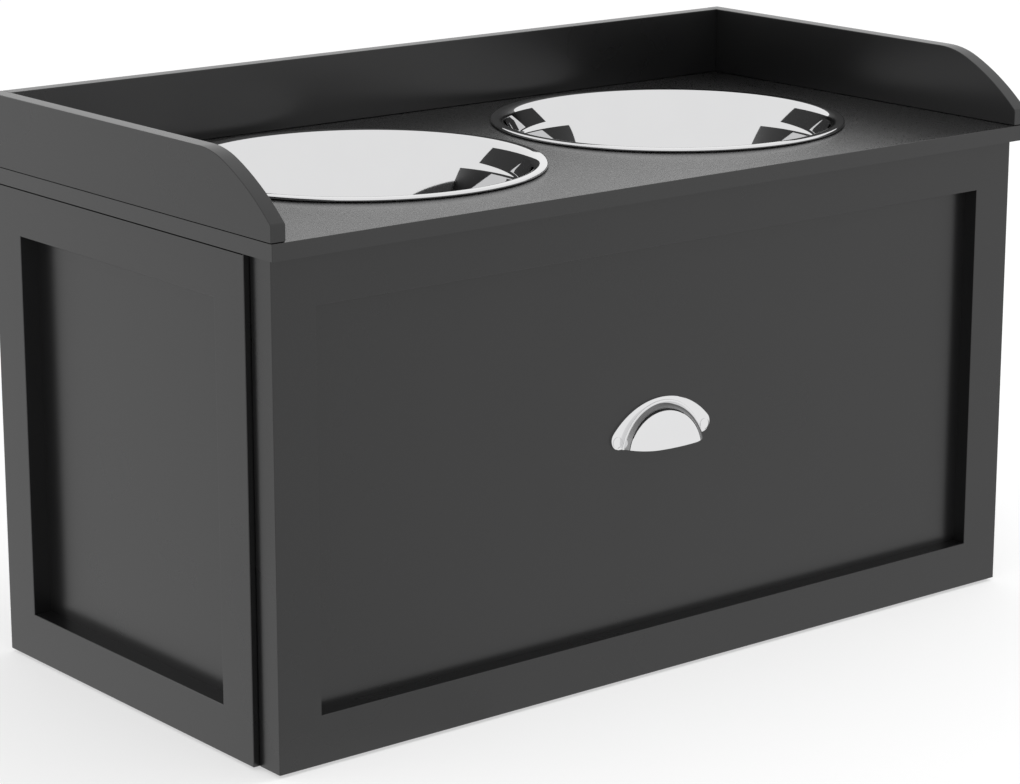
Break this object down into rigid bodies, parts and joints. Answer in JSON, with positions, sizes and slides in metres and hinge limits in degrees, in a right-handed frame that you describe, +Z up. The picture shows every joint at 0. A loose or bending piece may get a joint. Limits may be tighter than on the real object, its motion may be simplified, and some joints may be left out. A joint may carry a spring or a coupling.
{
  "type": "elevated dog feeder with storage",
  "caption": "Raised dog feeding station: shaker-panelled charcoal cabinet with a storage drawer on roller runners, a low gallery round the top and lift-out steel bowls.",
  "frame": {"origin": "on the floor, below the middle of the top board", "axes": "+X to the right of someone facing the drawer, +Y to the back, so the drawer opens towards -Y, +Z up"},
  "size_m": [0.6, 0.3, 0.359],
  "materials": {
    "painted_board": "charcoal satin paint on fibreboard",
    "hardboard": "hardboard lacquered charcoal on its visible face",
    "beech": "raw fluted beech",
    "zinc_steel": "bright zinc plate",
    "rubber": "matt black rubber",
    "enamel_steel": "white epoxy-coated sheet steel",
    "chrome_pull": "polished chrome plate",
    "nylon": "moulded white nylon",
    "bowl_steel": "mirror-polished stainless steel"
  },
  "bodies": {
    "cabinet": {"top_board": "painted_board", "gallery_left": "painted_board", "gallery_right": "painted_board", "gallery_back": "painted_board", "left_side_panel": "painted_board", "left_front_stile": "painted_board", "left_rear_stile": "painted_board", "left_top_rail": "painted_board", "left_bottom_rail": "painted_board", "right_side_panel": "painted_board", "right_front_stile": "painted_board", "right_rear_stile": "painted_board", "right_top_rail": "painted_board", "right_bottom_rail": "painted_board", "bottom_panel": "painted_board", "front_stretcher": "painted_board", "rear_stretcher": "painted_board", "back_panel": "hardboard", "gallery_screws": "zinc_steel", "side_frame_dowels": "beech", "carcass_dowels": "beech", "back_panel_screws": "zinc_steel", "angle_brackets": "zinc_steel", "bracket_screws": "zinc_steel", "cam_locks": "zinc_steel", "cam_bolts": "zinc_steel", "rubber_feet": "rubber", "carcass_runner_left": "enamel_steel", "carcass_runner_right": "enamel_steel", "carcass_runner_screws": "zinc_steel"},
    "drawer": {"drawer_front_panel": "painted_board", "drawer_front_left_stile": "painted_board", "drawer_front_right_stile": "painted_board", "drawer_front_top_rail": "painted_board", "drawer_front_bottom_rail": "painted_board", "drawer_side_left": "painted_board", "drawer_side_right": "painted_board", "drawer_box_front": "painted_board", "drawer_box_back": "painted_board", "drawer_bottom": "hardboard", "drawer_front_dowels": "beech", "drawer_box_screws": "zinc_steel", "drawer_front_screws": "zinc_steel", "drawer_runner_left": "enamel_steel", "drawer_runner_right": "enamel_steel", "drawer_runner_screws": "zinc_steel", "cup_pull": "chrome_pull", "pull_screws": "chrome_pull"},
    "front_roller_left": {"front_roller_left": "nylon"},
    "front_roller_right": {"front_roller_right": "nylon"},
    "rear_roller_left": {"rear_roller_left": "nylon"},
    "rear_roller_right": {"rear_roller_right": "nylon"},
    "bowl_left": {"bowl_left": "bowl_steel"},
    "bowl_right": {"bowl_right": "bowl_steel"}
  },
  "joints": [
    {"name": "drawer_slide", "type": "slide", "parent": "cabinet", "child": "drawer", "axis": [0, -1, 0], "range_m": [0, 0.19]},
    {"name": "front_roller_left_spin", "type": "hinge", "parent": "cabinet", "child": "front_roller_left", "pos_m": [-0.2715, -0.1045, 0.0336], "axis": [1, 0, 0], "range_deg": [-10, 1100]},
    {"name": "front_roller_right_spin", "type": "hinge", "parent": "cabinet", "child": "front_roller_right", "pos_m": [0.2715, -0.1045, 0.0336], "axis": [1, 0, 0], "range_deg": [-10, 1100]},
    {"name": "rear_roller_left_spin", "type": "hinge", "parent": "drawer", "child": "rear_roller_left", "pos_m": [-0.2715, 0.1175, 0.0346], "axis": [1, 0, 0], "range_deg": [-10, 1000]},
    {"name": "rear_roller_right_spin", "type": "hinge", "parent": "drawer", "child": "rear_roller_right", "pos_m": [0.2715, 0.1175, 0.0346], "axis": [1, 0, 0], "range_deg": [-10, 1000]},
    {"name": "bowl_left_lift", "type": "slide", "parent": "cabinet", "child": "bowl_left", "axis": [0, 0, 1], "range_m": [0, 0.12]},
    {"name": "bowl_right_lift", "type": "slide", "parent": "cabinet", "child": "bowl_right", "axis": [0, 0, 1], "range_m": [0, 0.12]}
  ],
  "couplings": [
    {"joint": "front_roller_left_spin", "follows": "drawer_slide", "rad_per_m": 100},
    {"joint": "front_roller_right_spin", "follows": "drawer_slide", "rad_per_m": 100},
    {"joint": "rear_roller_left_spin", "follows": "drawer_slide", "rad_per_m": 90.909},
    {"joint": "rear_roller_right_spin", "follows": "drawer_slide", "rad_per_m": 90.909}
  ]
}
